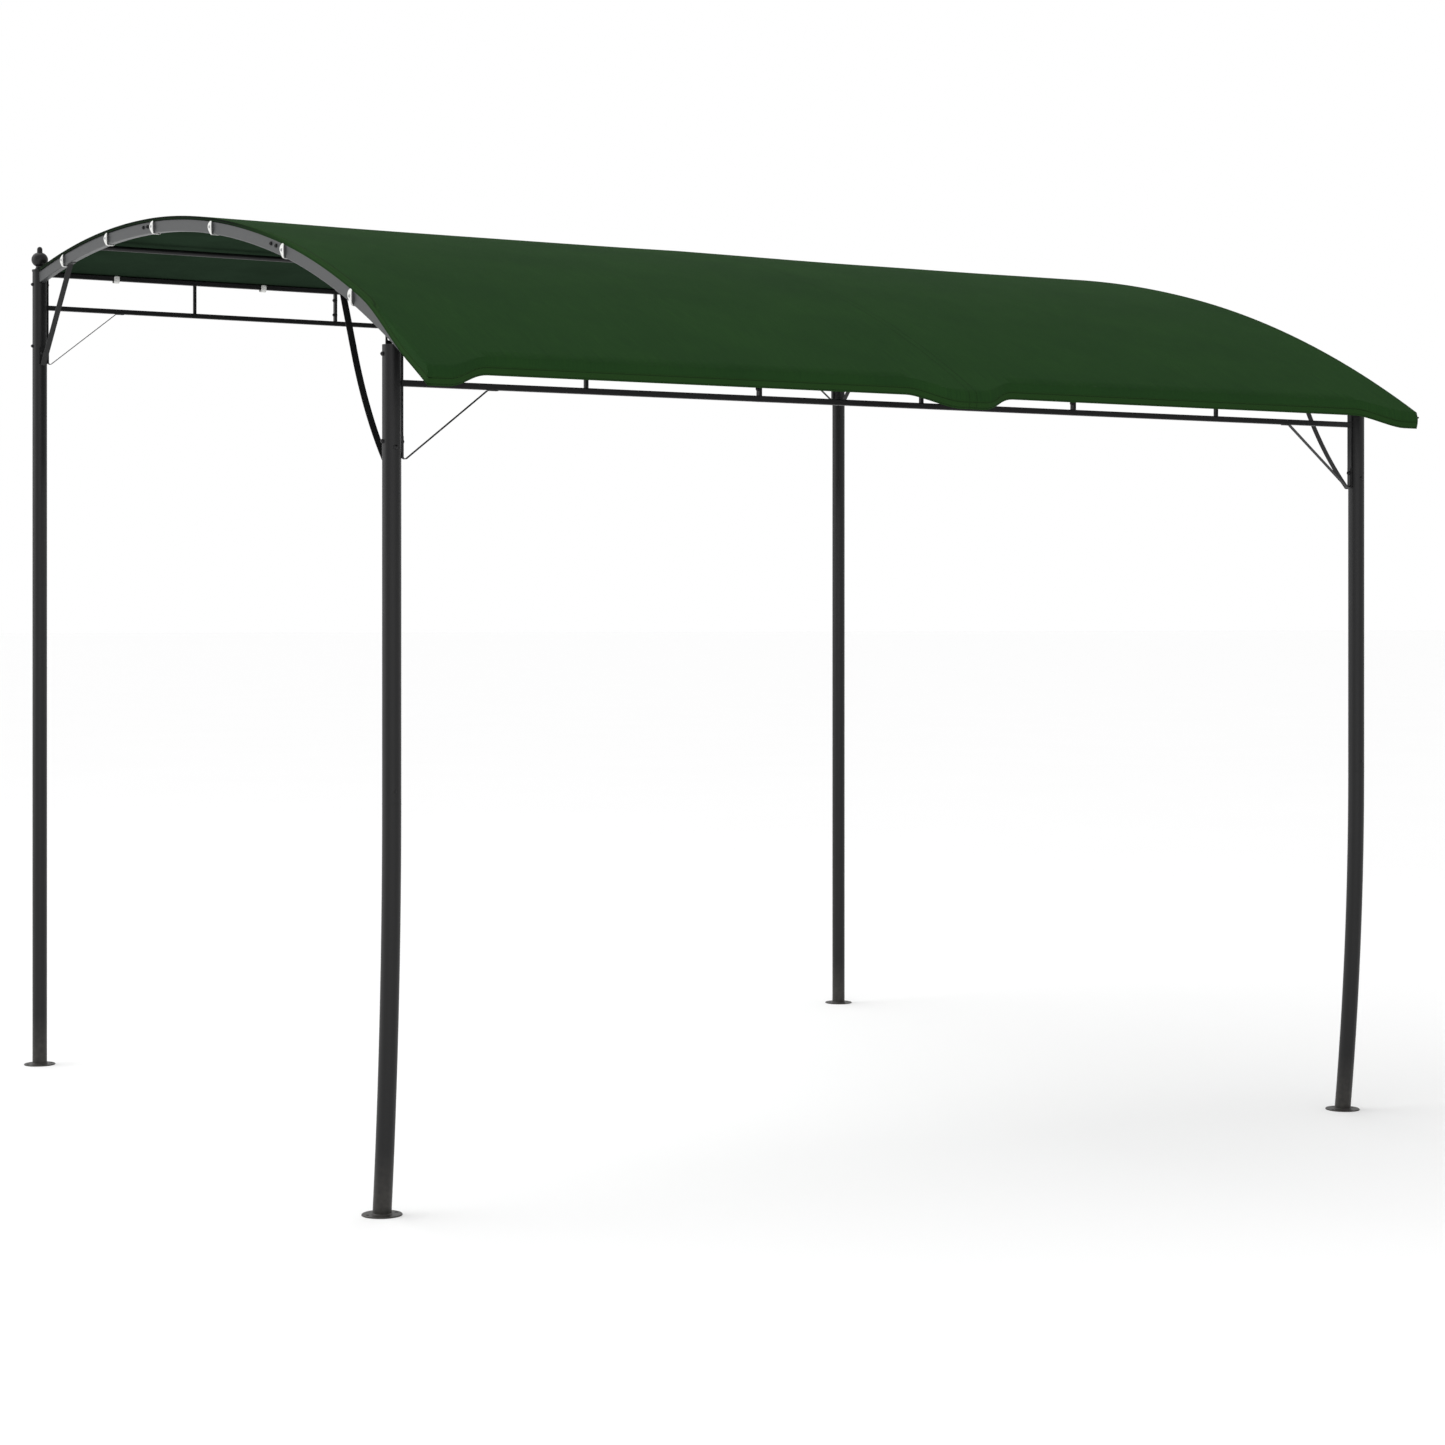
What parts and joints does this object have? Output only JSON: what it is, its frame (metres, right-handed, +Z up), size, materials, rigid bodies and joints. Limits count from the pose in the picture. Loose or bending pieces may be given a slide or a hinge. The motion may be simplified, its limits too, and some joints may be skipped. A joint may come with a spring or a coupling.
{
  "type": "garden awning",
  "caption": "Free-standing garden awning: tall rear posts and shorter bowed front posts carry lattice trusses, curved arches and a taut fabric roof.",
  "frame": {"origin": "on the ground, under the middle of the whole awning", "axes": "+X along the front, left to right as seen from the front; -Y towards the front, where the roof comes down; +Z up"},
  "size_m": [3.072, 3.034, 2.5767],
  "materials": {
    "powder_coated_steel": "satin charcoal powder coat",
    "fasteners": "black coated steel",
    "plug_plastic": "matte black",
    "canopy_fabric": "dark green woven polyester",
    "strap_webbing": "white webbing"
  },
  "bodies": {
    "root": {"rear_post_upper_left": "powder_coated_steel", "rear_post_lower_left": "powder_coated_steel", "front_post_upper_left": "powder_coated_steel", "front_post_lower_left": "powder_coated_steel", "rear_foot_left": "powder_coated_steel", "front_foot_left": "powder_coated_steel", "finial_left": "powder_coated_steel", "rear_length_brace_left": "powder_coated_steel", "front_length_brace_left": "powder_coated_steel", "rear_arch_brace_left": "powder_coated_steel", "front_arch_brace_left": "powder_coated_steel", "purlins_left": "powder_coated_steel", "rear_post_upper_right": "powder_coated_steel", "rear_post_lower_right": "powder_coated_steel", "front_post_upper_right": "powder_coated_steel", "front_post_lower_right": "powder_coated_steel", "rear_foot_right": "powder_coated_steel", "front_foot_right": "powder_coated_steel", "finial_right": "powder_coated_steel", "rear_length_brace_right": "powder_coated_steel", "front_length_brace_right": "powder_coated_steel", "rear_arch_brace_right": "powder_coated_steel", "front_arch_brace_right": "powder_coated_steel", "purlins_right": "powder_coated_steel", "arch_rear_bracket_left": "powder_coated_steel", "arch_front_saddle_left": "powder_coated_steel", "rear_truss_left": "powder_coated_steel", "front_truss_left": "powder_coated_steel", "arch_rear_bracket_mid": "powder_coated_steel", "arch_front_saddle_mid": "powder_coated_steel", "rear_truss_mid": "powder_coated_steel", "front_truss_mid": "powder_coated_steel", "arch_rear_bracket_right": "powder_coated_steel", "arch_front_saddle_right": "powder_coated_steel", "rear_truss_right": "powder_coated_steel", "front_truss_right": "powder_coated_steel", "arch_splice_inserts": "powder_coated_steel", "post_joint_sleeves": "powder_coated_steel", "front_post_caps": "powder_coated_steel", "arch_left_rear": "powder_coated_steel", "arch_left_centre": "powder_coated_steel", "arch_left_front": "powder_coated_steel", "arch_mid_rear": "powder_coated_steel", "arch_mid_centre": "powder_coated_steel", "arch_mid_front": "powder_coated_steel", "arch_right_rear": "powder_coated_steel", "arch_right_centre": "powder_coated_steel", "arch_right_front": "powder_coated_steel", "arch_bolts": "fasteners", "post_bolts": "fasteners", "brace_bolts": "fasteners", "truss_bolts": "fasteners", "arch_end_plugs": "plug_plastic", "canopy": "canopy_fabric", "arch_straps_left": "strap_webbing", "arch_straps_right": "strap_webbing", "rail_straps": "strap_webbing"}
  },
  "joints": []
}
